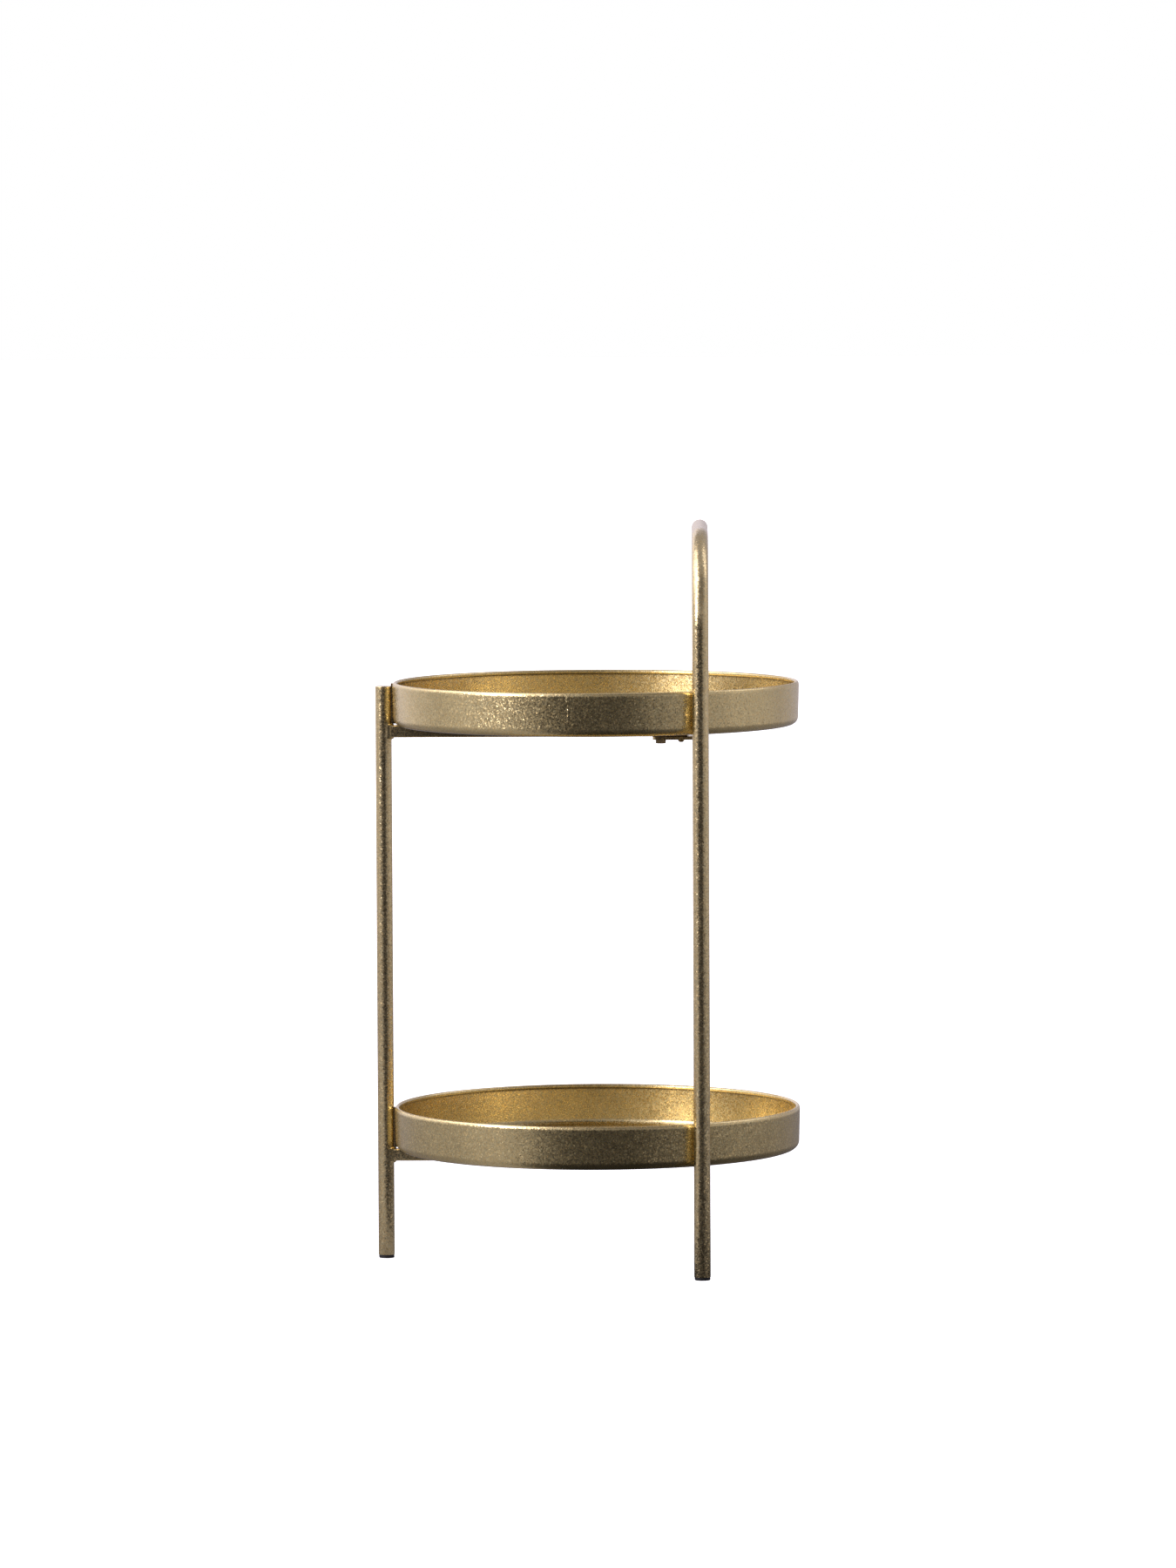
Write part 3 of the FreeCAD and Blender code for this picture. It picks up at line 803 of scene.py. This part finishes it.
TONGUE_THICKNESS = 3.0
BOLT_X = 72.416
HEAD_HEIGHT = 4.0
HEAD_ACROSS_FLATS = 10.0
HEAD_CORNER_POWER = 80
HEAD_DIMPLE = ((1.0, 0.25), (2.6, 0.2), (3.0, 0.0))
HEAD_FACE_RADIUS = 4.45
HEAD_CHAMFER_DEGREES = 30
HEAD_CHAMFER_STEPS = (0.0, 0.35, 0.7, 1.0)
HEAD_EASING = 0.12
SHANK_RADIUS = 3.0
BOLT_LENGTH = 10.0
THREAD_PITCH = 1.0
THREAD_DEPTH = 0.55
THREAD_STEPS = 8
THREAD_START = 0.4
THREAD_RUN_IN = 0.8
TIP_LENGTH = 0.9
TIP_TAPER = 0.7


def bolt_rings(level):
    """A hexagon bolt standing head down.

    The head's radius at angle a is half its width across flats over (sum over the six sides
    of cos(a - side)^80)^(1/80), a hexagon with slightly eased edges. Its lower edge is
    turned off at 30 degrees. The thread's radius falls and rises as a triangle wave of
    height / pitch - a / (2 pi).
    """
    angle = np.linspace(0, 2 * np.pi, ROUND_COLUMNS * 2, endpoint=False)
    still = 0 * angle
    sides = np.arange(6)[:, None] * np.pi / 3
    facing = np.clip(np.cos(angle - sides), 0, None) ** HEAD_CORNER_POWER
    hexagon = HEAD_ACROSS_FLATS / 2 / facing.sum(0) ** (1 / HEAD_CORNER_POWER)
    slope = np.tan(np.radians(HEAD_CHAMFER_DEGREES))
    rings = [(radius + still, height + still) for radius, height in HEAD_DIMPLE]
    for share in HEAD_CHAMFER_STEPS:
        radius = HEAD_FACE_RADIUS + share * (hexagon - HEAD_FACE_RADIUS)
        rings.append((radius, (radius - HEAD_FACE_RADIUS) * slope))
    rings += [
        (hexagon, HEAD_HEIGHT - HEAD_EASING + still),
        (hexagon - HEAD_EASING, HEAD_HEIGHT + still),
        (SHANK_RADIUS + still, HEAD_HEIGHT + still),
    ]
    for height in np.arange(THREAD_START, BOLT_LENGTH, THREAD_PITCH / THREAD_STEPS):
        phase = (height / THREAD_PITCH - angle / (2 * np.pi)) % 1.0
        depth = THREAD_DEPTH * (1 - 2 * np.abs(phase - 0.5))
        depth = depth * way(height, THREAD_START, THREAD_START + THREAD_RUN_IN)
        taper = TIP_TAPER * way(height, BOLT_LENGTH - TIP_LENGTH, BOLT_LENGTH)
        rings.append((SHANK_RADIUS - depth - taper, HEAD_HEIGHT + height + still))
    radius, height = np.array(rings).swapaxes(0, 1)
    base = level - BAR_WIDTH - TONGUE_THICKNESS - HEAD_HEIGHT
    return np.stack([BOLT_X + radius * np.cos(angle), radius * np.sin(angle), base + height], -1)


bolt_brass = antique_brass("brass_on_bolts")
settle(
    joined("hexagon_bolts", [
        closed_skin("bolt", bolt_rings(level), crease_degrees=25.0) for level in TRAY_LEVELS
    ]),
    bolt_brass, "bolt_steel", "joint_bolts",
)

PIN_X = 92.416
PIN_PROJECTION = 2.8
PIN_NOSE_RADIUS = 2.0
PIN_TIP_RADIUS = 0.5
PIN_HEAD_RADIUS = 4.0
PIN_HEAD_THICKNESS = 1.5
PIN_HEAD_LOWER_EASING = 0.2
PIN_HEAD_UPPER_EASING = 0.3
PIN_HEAD_MIDDLE = 1.0
BAR_WALL = 1.0


def pin_profile():
    """(radius, height) of a pin: a round nose, a plain shank and a flat head with eased edges."""
    seat = PIN_PROJECTION + TONGUE_THICKNESS + BAR_WALL
    top = seat + PIN_HEAD_THICKNESS
    nose_centre = (SHANK_RADIUS - PIN_NOSE_RADIUS, PIN_NOSE_RADIUS)
    return np.vstack([
        [(PIN_TIP_RADIUS, 0.0)],
        arc_points(nose_centre, PIN_NOSE_RADIUS, -90, 0, count=12),
        [
            (SHANK_RADIUS, seat),
            (PIN_HEAD_RADIUS - PIN_HEAD_LOWER_EASING, seat),
            (PIN_HEAD_RADIUS, seat + PIN_HEAD_LOWER_EASING),
            (PIN_HEAD_RADIUS, top - PIN_HEAD_UPPER_EASING),
            (PIN_HEAD_RADIUS - PIN_HEAD_UPPER_EASING, top),
            (PIN_HEAD_MIDDLE, top),
        ],
    ])


settle(
    joined("headed_pins", [
        closed_skin("pin", turned_rings(
            pin_profile(), PIN_X, 0, level - BAR_WIDTH - TONGUE_THICKNESS - PIN_PROJECTION
        ))
        for level in TRAY_LEVELS
    ]),
    bolt_brass, "bolt_steel", "locating_pins",
)
give(bolt_brass, "captive_nuts")

# ------------------------------------------------------------------ feet
# Each open leg end takes a black plastic plug with a flange a little narrower than the tube.
# It is moulded in one piece, with a fine spark-eroded texture and three grip rings inside.

FLANGE_RADIUS = 7.6
FLANGE_EDGE_RADIUS = 0.8
FLANGE_STEP = 0.2
SOLE_HOLLOW = ((2.0, 0.25), (4.6, 0.25), (5.0, 0.0))
PLUG_RADIUS = 6.75
PLUG_TOP = 21.2
PLUG_MIDDLE_RADIUS = 2.0
GRIP_DEPTH = 0.25
GRIP_TURN = 0.56
LEAD_IN_HEIGHT = 1.0
LEAD_IN_DEPTH = 1.2
PLASTIC_BLACK = (0.008, 0.008, 0.008, 1)
PLASTIC_RUBBED = (0.022, 0.021, 0.02, 1)
PLASTIC_ROUGHNESS = (0.42, 0.7)


def foot_plastic(name):
    """Black moulded plastic with a fine matt grain and slightly greyer, rougher scuffs."""
    material, tree, shader, place = blank_material(name, 0.0)
    grain = noise(tree, place, scale=2600.0, detail=2.0)
    bumped(tree, shader, grain, strength=0.5, depth=0.04)
    scuffs = noise(tree, place, scale=300.0, detail=4.0)
    tone = blended(tree, scuffs, PLASTIC_BLACK, PLASTIC_RUBBED)
    tree.links.new(tone, shader.inputs["Base Color"])
    tree.links.new(spread(tree, scuffs, *PLASTIC_ROUGHNESS), shader.inputs["Roughness"])
    return material


def foot_profile():
    """(radius, height) of a plug, its spigot's radius rippled by sin^8 for the grip rings."""
    edge_centre = (FLANGE_RADIUS - FLANGE_EDGE_RADIUS, FLANGE_EDGE_RADIUS)
    climb = np.linspace(FOOT_FLANGE_HEIGHT, PLUG_TOP - LEAD_IN_HEIGHT, 60)
    ripple = np.sin((climb - FOOT_FLANGE_HEIGHT) * GRIP_TURN) ** 8
    grip = PLUG_RADIUS - GRIP_DEPTH + GRIP_DEPTH * ripple
    return np.vstack([
        SOLE_HOLLOW,
        arc_points(edge_centre, FLANGE_EDGE_RADIUS, -90, 0, count=8),
        [
            (FLANGE_RADIUS, FOOT_FLANGE_HEIGHT - FLANGE_STEP),
            (FLANGE_RADIUS - FLANGE_STEP, FOOT_FLANGE_HEIGHT),
        ],
        np.stack([grip, climb], -1),
        [(PLUG_RADIUS - LEAD_IN_DEPTH, PLUG_TOP), (PLUG_MIDDLE_RADIUS, PLUG_TOP)],
    ])


black_plastic = foot_plastic("black_moulded_plastic")
settle(
    joined("foot_plugs", [
        closed_skin("plug", turned_rings(foot_profile(), x, y, 0))
        for x, y in ((SIDE_LEG_X, 0), (HOOP_X, -HOOP_LEG_Y), (HOOP_X, HOOP_LEG_Y))
    ]),
    black_plastic, "foot_black", "leg_feet",
)

# ------------------------------------------------------------------ studio
# A pale floor that runs out to a white surround, with one soft light on the left. The side
# towards the camera is a dark room, whose reflection gives the metal its depth.

# Brightness by compass angle, from 0 at the camera's side: low down in the surround, in the
# band above that, on the floor from 0.9 m off, on the floor by the feet, and high overhead.
# ZENITH is the even brightness straight above, and STUDIO_TINT colours all of them.
HORIZON = (
    (-180, 0.75), (-160, 0.72), (-145, 0.70), (-120, 0.66), (-100, 0.39), (-80, 0.56),
    (-62, 0.30), (-42, 0.06), (-28, 0.03), (0, 0.03), (20, 0.04), (40, 0.35), (60, 0.39),
    (90, 0.54), (130, 0.41), (165, 0.48), (180, 0.75),
)
UPPER_BAND = (
    (-180, 0.8), (-165, 1.1), (-125, 1.1), (-90, 0.85), (-50, 0.8), (-30, 0.6), (0, 0.34),
    (30, 0.28), (50, 0.36), (90, 0.60), (120, 0.42), (168, 0.34), (180, 0.8),
)
NEAR_FLOOR = (
    (-180, 0.18), (-140, 0.29), (-120, 0.27), (-100, 0.27), (-50, 0.38), (-36, 0.36),
    (-27, 0.10), (-12, 0.04), (25, 0.04), (45, 0.10), (80, 0.20), (120, 0.21), (160, 0.21),
    (180, 0.18),
)
FOOT_FLOOR = (
    (-180, 0.14), (-120, 0.20), (-80, 0.22), (-50, 0.35), (-36, 0.34), (-27, 0.08),
    (-12, 0.02), (25, 0.02), (45, 0.04), (80, 0.08), (120, 0.12), (180, 0.14),
)
CEILING = (
    (-180, 0.35), (-138, 0.35), (-122, 1.6), (-100, 2.4), (-60, 2.8), (-45, 1.8), (-30, 0.35),
    (0, 0.14), (40, 0.16), (80, 0.3), (98, 0.7), (112, 1.8), (124, 0.9), (140, 0.35),
    (180, 0.35),
)
ZENITH = 0.36
STUDIO_TINT = (1.06, 1.0, 1.18)

# Where each goes over into the next, by the Z of the direction that is looked in.
BAND_FADE = (0.08, 0.3)
CEILING_FADE = (0.32, 0.55)
ZENITH_FADE = (0.86, 0.94)


def compass(tree, direction):
    """A vector's compass angle, as a share of the circle from -180 to 180 degrees, and its Z."""
    split = node(tree, "ShaderNodeSeparateXYZ")
    tree.links.new(direction, split.inputs[0])
    front = combined(tree, "MULTIPLY", split.outputs["Y"], -1.0)
    angle = combined(tree, "ARCTAN2", split.outputs["X"], front)
    return spread(tree, angle, 0, 1, -np.pi, np.pi), split.outputs["Z"]


def level_round(tree, share, table):
    """The brightness at a share of the circle, by straight lines between a table's stops."""
    ramp = node(tree, "ShaderNodeValToRGB")
    stops = ramp.color_ramp.elements
    while len(stops) < len(table):
        stops.new(0.5)
    for stop, (degrees, level) in zip(stops, table):
        stop.position = (degrees + 180) / 360
        stop.color = (level, level, level, 1)
    tree.links.new(share, ramp.inputs["Fac"])
    return ramp.outputs["Color"]


def faded(tree, value, fade, first, second):
    """first where value is below the fade's start and second where it is above its end."""
    return blended(tree, spread(tree, value, 0, 1, *fade), first, second, "FLOAT")


def either(tree, share, first, second):
    """The first shader where a linked share is 0 and the second where it is 1."""
    made = node(tree, "ShaderNodeMixShader")
    tree.links.new(share, made.inputs["Fac"])
    tree.links.new(first, made.inputs[1])
    tree.links.new(second, made.inputs[2])
    return made.outputs[0]


def studio_surround():
    """A world whose brightness follows the compass at three heights and is even straight above.

    The camera itself sees plain white.
    """
    world = bpy.data.worlds.new("studio")
    tree = emptied_tree(world)
    share, rise = compass(tree, node(tree, "ShaderNodeTexCoord").outputs["Generated"])
    low = level_round(tree, share, HORIZON)
    band = faded(tree, rise, BAND_FADE, low, level_round(tree, share, UPPER_BAND))
    overhead = faded(tree, rise, ZENITH_FADE, level_round(tree, share, CEILING), ZENITH)
    lit = node(tree, "ShaderNodeBackground", Color=(*STUDIO_TINT, 1))
    tree.links.new(faded(tree, rise, CEILING_FADE, band, overhead), lit.inputs["Strength"])
    plain = node(tree, "ShaderNodeBackground", Color=(1, 1, 1, 1), Strength=1.0)
    seen = node(tree, "ShaderNodeLightPath").outputs["Is Camera Ray"]
    out = node(tree, "ShaderNodeOutputWorld")
    shown = either(tree, seen, lit.outputs[0], plain.outputs[0])
    tree.links.new(shown, out.inputs["Surface"])
    return world


bpy.context.scene.world = studio_surround()

FLOOR_PAINT = (0.8, 0.8, 0.8, 1)
FLOOR_GLOW = 0.95
FLOOR_HALF_WIDTH = 40.0
FOOT_FADE = (0.4, 0.9)
FAR_FADE = (1.5, 5.0)


def white_floor(name):
    """Pale paint that the camera sees a little brighter than its light alone would make it.

    In the metal's reflections it has the levels of FOOT_FLOOR within 0.4 m of the table's
    middle, those of NEAR_FLOOR from 0.9 to 1.5 m, and those of the horizon from 5 m out.
    """
    material = bpy.data.materials.new(name)
    tree = emptied_tree(material)
    link = tree.links.new
    path = node(tree, "ShaderNodeLightPath")
    paint = node(tree, "ShaderNodeBsdfDiffuse", Color=FLOOR_PAINT)
    glow = node(tree, "ShaderNodeEmission", Color=(1, 1, 1, 1))
    seen_glow = combined(tree, "MULTIPLY", path.outputs["Is Camera Ray"], FLOOR_GLOW)
    link(seen_glow, glow.inputs["Strength"])
    both = node(tree, "ShaderNodeAddShader")
    link(paint.outputs[0], both.inputs[0])
    link(glow.outputs[0], both.inputs[1])

    place = node(tree, "ShaderNodeTexCoord").outputs["Object"]
    distance = node(tree, "ShaderNodeVectorMath", operation="LENGTH")
    link(place, distance.inputs[0])
    away = distance.outputs["Value"]
    share, _ = compass(tree, place)
    by_feet = level_round(tree, share, FOOT_FLOOR)
    near = faded(tree, away, FOOT_FADE, by_feet, level_round(tree, share, NEAR_FLOOR))
    level = faded(tree, away, FAR_FADE, near, level_round(tree, share, HORIZON))
    mirrored = node(tree, "ShaderNodeEmission", Color=(*STUDIO_TINT, 1))
    link(level, mirrored.inputs["Strength"])

    out = node(tree, "ShaderNodeOutputMaterial")
    shown = either(tree, path.outputs["Is Glossy Ray"], both.outputs[0], mirrored.outputs[0])
    link(shown, out.inputs["Surface"])
    return material


floor_mesh = bpy.data.meshes.new("floor")
floor_corners = np.array([(-1, -1, 0), (1, -1, 0), (1, 1, 0), (-1, 1, 0)]) * FLOOR_HALF_WIDTH
floor_mesh.from_pydata(floor_corners.tolist(), [], [(0, 1, 2, 3)])
floor_mesh.materials.append(white_floor("pale_floor"))
floor = bpy.data.objects.new("floor", floor_mesh)
bpy.context.scene.collection.objects.link(floor)

AIM_HEIGHT = 0.4


def soft_light(name, azimuth, elevation, distance, width, height, power):
    """A rectangular lamp that faces the middle of the table. Azimuth 0 is the camera's side."""
    lamp = bpy.data.lights.new(name, "AREA")
    lamp.shape = "RECTANGLE"
    lamp.size, lamp.size_y = width, height
    lamp.energy = power
    lamp.color = STUDIO_TINT
    light = bpy.data.objects.new(name, lamp)
    a, e = np.radians(azimuth), np.radians(elevation)
    away = np.array([np.sin(a) * np.cos(e), -np.cos(a) * np.cos(e), np.sin(e)])
    side = np.array([np.cos(a), np.sin(a), 0.0])
    over = np.cross(away, side)
    spot = away * distance + [0, 0, AIM_HEIGHT]
    light.matrix_world = Matrix([
        (side[0], over[0], away[0], spot[0]),
        (side[1], over[1], away[1], spot[1]),
        (side[2], over[2], away[2], spot[2]),
        (0, 0, 0, 1),
    ])
    light.visible_camera = False
    bpy.context.scene.collection.objects.link(light)


soft_light(
    "left_softbox", azimuth=-54, elevation=19.5, distance=3.0, width=1.0, height=1.0, power=27
)

# The camera stands 8.5 m off at about a metre's height, looking slightly down.
CAMERA_PLACE = (0.1038149, -8.5408857, 1.0764842)
CAMERA_PITCH = 0.07105
CAMERA_PAN = -0.01209
CAMERA_ROLL = -0.00445
PIXEL_FOCUS = 9982.97547
IMAGE_HEIGHT = 1800

camera_data = bpy.data.cameras.new("camera")
camera_data.lens = PIXEL_FOCUS / IMAGE_HEIGHT * camera_data.sensor_width
camera_data.clip_end = 100.0
camera = bpy.data.objects.new("camera", camera_data)
bpy.context.scene.collection.objects.link(camera)
forward = np.array([
    np.sin(CAMERA_PAN) * np.cos(CAMERA_PITCH),
    np.cos(CAMERA_PAN) * np.cos(CAMERA_PITCH),
    -np.sin(CAMERA_PITCH),
])
level_right = np.array([np.cos(CAMERA_PAN), -np.sin(CAMERA_PAN), 0.0])
level_up = np.cross(level_right, forward)
right = np.cos(CAMERA_ROLL) * level_right + np.sin(CAMERA_ROLL) * level_up
upward = -np.sin(CAMERA_ROLL) * level_right + np.cos(CAMERA_ROLL) * level_up
camera.matrix_world = Matrix([
    (right[0], upward[0], -forward[0], CAMERA_PLACE[0]),
    (right[1], upward[1], -forward[1], CAMERA_PLACE[1]),
    (right[2], upward[2], -forward[2], CAMERA_PLACE[2]),
    (0, 0, 0, 1),
])
bpy.context.scene.camera = camera
bpy.context.scene.view_settings.view_transform = "Standard"
